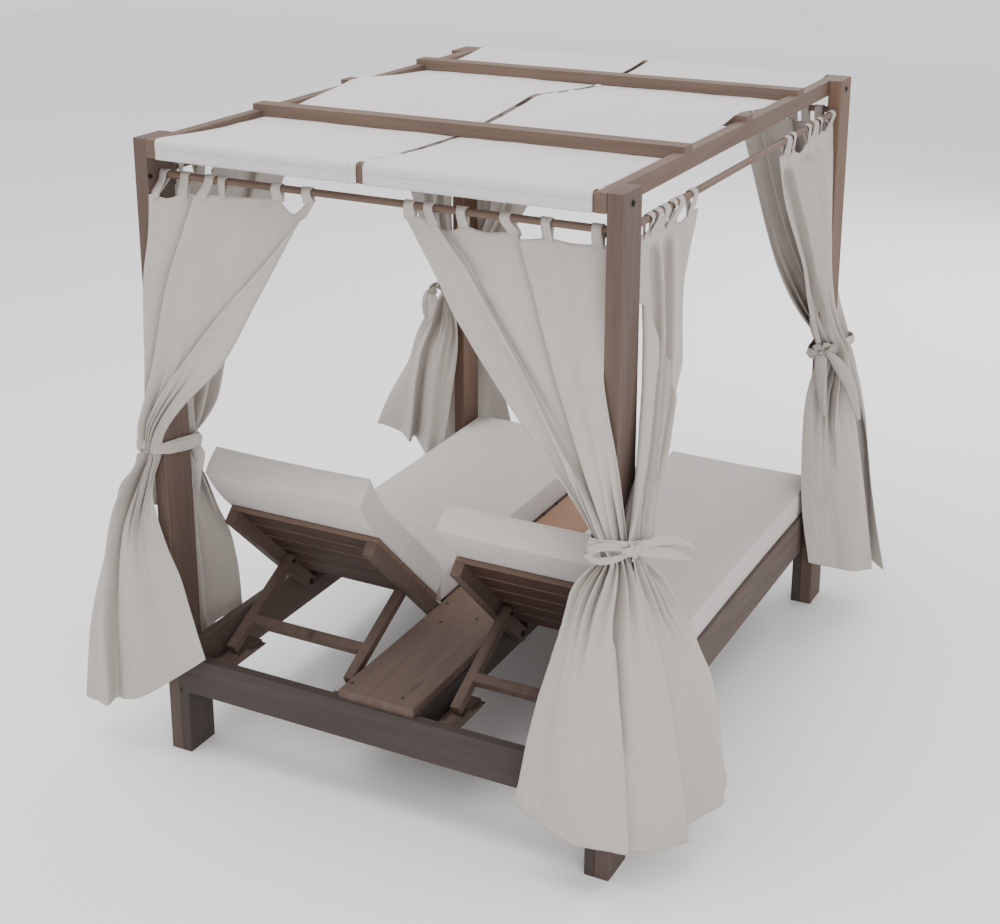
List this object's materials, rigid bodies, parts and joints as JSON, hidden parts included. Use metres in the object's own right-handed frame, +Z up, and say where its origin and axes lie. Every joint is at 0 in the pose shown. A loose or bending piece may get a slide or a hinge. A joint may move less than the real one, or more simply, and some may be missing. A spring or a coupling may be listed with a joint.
{
  "type": "outdoor daybed with canopy",
  "caption": "Wooden garden daybed with reclining backrests, boxed cushions, a slatted roof with woven cloth strips and tied-back corner curtains.",
  "frame": {"origin": "on the floor at the centre of the four posts", "axes": "+Z up, +Y toward the foot end, +X to the right seen from the head end"},
  "size_m": [2.076, 2.2046, 2.0223],
  "materials": {
    "wood_post": "matt oiled, greyed",
    "wood_top": "matt oiled",
    "wood_dark": "matt oiled, dark",
    "steel_dark": "dark",
    "cloth_canopy": "plain weave",
    "cloth_curtain": "plain weave",
    "cloth_cushion": "plain weave"
  },
  "bodies": {
    "frame": {"backrest_bolt_inner_left": "steel_dark", "backrest_bolt_inner_right": "steel_dark", "backrest_bolt_outer_left": "steel_dark", "backrest_bolt_outer_right": "steel_dark", "canopy_strip_left": "cloth_canopy", "canopy_strip_right": "cloth_canopy", "centre_beam_left": "wood_dark", "centre_beam_right": "wood_dark", "centre_plank": "wood_top", "curtain_foot_left_end": "cloth_curtain", "curtain_foot_left_side": "cloth_curtain", "curtain_foot_right_end": "cloth_curtain", "curtain_foot_right_side": "cloth_curtain", "curtain_head_left_end": "cloth_curtain", "curtain_head_left_side": "cloth_curtain", "curtain_head_right_end": "cloth_curtain", "curtain_head_right_side": "cloth_curtain", "curtain_rod_foot": "wood_top", "curtain_rod_head": "wood_top", "curtain_rod_left": "wood_top", "curtain_rod_right": "wood_top", "foot_rail": "wood_dark", "head_rail": "wood_dark", "leg_block_foot_left": "wood_dark", "leg_block_foot_right": "wood_dark", "leg_block_head_left": "wood_dark", "leg_block_head_right": "wood_dark", "post_foot_left": "wood_post", "post_foot_right": "wood_post", "post_head_left": "wood_post", "post_head_right": "wood_post", "prop_cleat_inner_left": "wood_dark", "prop_cleat_inner_right": "wood_dark", "prop_cleat_outer_left": "wood_dark", "prop_cleat_outer_right": "wood_dark", "roof_bar_foot": "wood_post", "roof_bar_head": "wood_post", "roof_bar_middle": "wood_post", "roof_beam_foot": "wood_post", "roof_beam_head": "wood_post", "roof_beam_left": "wood_post", "roof_beam_right": "wood_post", "sash_foot_left": "cloth_curtain", "sash_foot_right": "cloth_curtain", "sash_head_left": "cloth_curtain", "sash_head_right": "cloth_curtain", "seat_cushion_left": "cloth_cushion", "seat_cushion_right": "cloth_cushion", "seat_deck_left": "wood_top", "seat_deck_right": "wood_top", "side_rail_left": "wood_dark", "side_rail_right": "wood_dark"},
    "backrest_left": {"backrest_left": "wood_top"},
    "prop_left": {"prop_frame_left": "wood_dark"},
    "back_cushion_left": {"back_cushion_left": "cloth_cushion"},
    "backrest_right": {"backrest_right": "wood_top"},
    "prop_right": {"prop_frame_right": "wood_dark"},
    "back_cushion_right": {"back_cushion_right": "cloth_cushion"}
  },
  "joints": [
    {"name": "backrest_tilt_left", "type": "hinge", "parent": "frame", "child": "backrest_left", "pos_m": [-0.412, -0.36, 0.325], "axis": [-1, 0, 0], "range_deg": [-45, 20]},
    {"name": "prop_swing_left", "type": "hinge", "parent": "backrest_left", "child": "prop_left", "pos_m": [-0.412, -0.51203, 0.47703], "axis": [-1, 0, 0], "range_deg": [-32, 72]},
    {"name": "cushion_slide_left", "type": "slide", "parent": "backrest_left", "child": "back_cushion_left", "axis": [0, -0.7071, 0.7071], "range_m": [-0.084, 0.038]},
    {"name": "backrest_tilt_right", "type": "hinge", "parent": "frame", "child": "backrest_right", "pos_m": [0.412, -0.36, 0.325], "axis": [-1, 0, 0], "range_deg": [-45, 20]},
    {"name": "prop_swing_right", "type": "hinge", "parent": "backrest_right", "child": "prop_right", "pos_m": [0.412, -0.51203, 0.47703], "axis": [-1, 0, 0], "range_deg": [-32, 72]},
    {"name": "cushion_slide_right", "type": "slide", "parent": "backrest_right", "child": "back_cushion_right", "axis": [0, -0.7071, 0.7071], "range_m": [-0.084, 0.038]}
  ],
  "couplings": [
    {"joint": "prop_swing_left", "follows": "backrest_tilt_left", "ratio": -1.5961},
    {"joint": "cushion_slide_left", "follows": "backrest_tilt_left", "m_per_rad": 0.106},
    {"joint": "prop_swing_right", "follows": "backrest_tilt_right", "ratio": -1.5961},
    {"joint": "cushion_slide_right", "follows": "backrest_tilt_right", "m_per_rad": 0.106}
  ]
}
